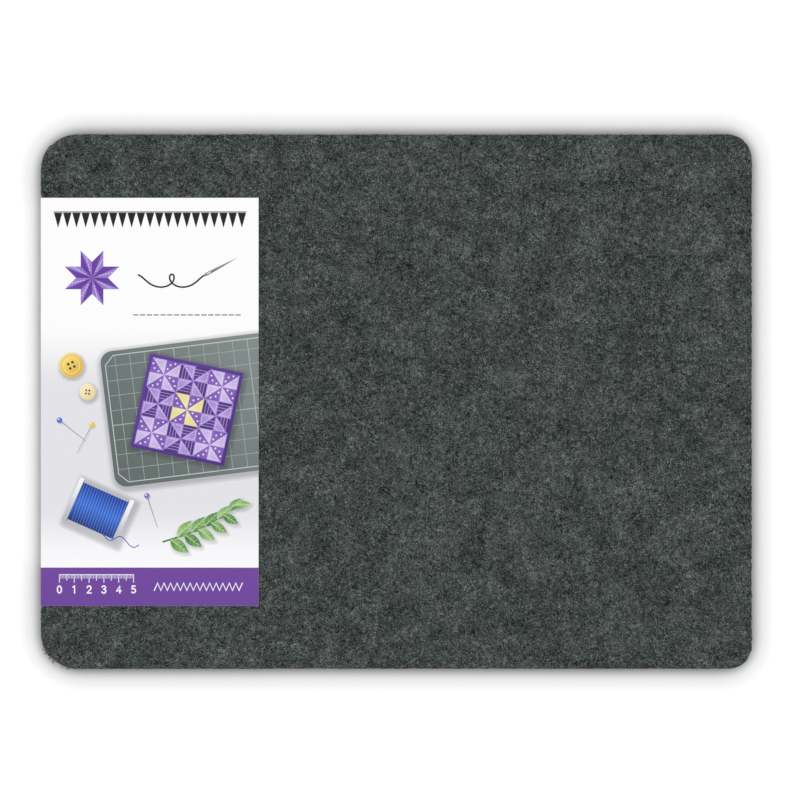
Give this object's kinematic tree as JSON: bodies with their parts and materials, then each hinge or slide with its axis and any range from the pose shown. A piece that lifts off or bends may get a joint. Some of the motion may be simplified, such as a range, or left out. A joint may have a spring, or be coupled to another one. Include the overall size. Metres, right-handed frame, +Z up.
{
  "type": "ironing pad",
  "caption": "Flat rectangular felted ironing pad with rounded corners, its short end in a card sleeve that folds open and slides off.",
  "frame": {"origin": "centre of the felt mat's underside", "axes": "+X along the mat's long side, away from the sleeve; +Y across the mat; +Z up out of the pressing face"},
  "size_m": [0.4802, 0.3642, 0.0143],
  "materials": {
    "felt": "matte",
    "printed_card": "satin",
    "card_back": "matte"
  },
  "bodies": {
    "mat": {"felt_mat": "felt"},
    "spine": {"sleeve_spine": "printed_card"},
    "front_panel": {"sleeve_front_panel": "printed_card"},
    "back_panel": {"sleeve_back_panel": "card_back"}
  },
  "joints": [
    {"name": "sleeve_slide", "type": "slide", "parent": "mat", "child": "spine", "axis": [-1, 0, 0], "range_m": [0, 0.16]},
    {"name": "front_fold", "type": "hinge", "parent": "spine", "child": "front_panel", "pos_m": [-0.24022, 0, 0.01323], "axis": [0, -1, 0], "range_deg": [0, 180]},
    {"name": "back_fold", "type": "hinge", "parent": "spine", "child": "back_panel", "pos_m": [-0.24022, 0, -0.00052], "axis": [0, 1, 0], "range_deg": [0, 180]}
  ]
}
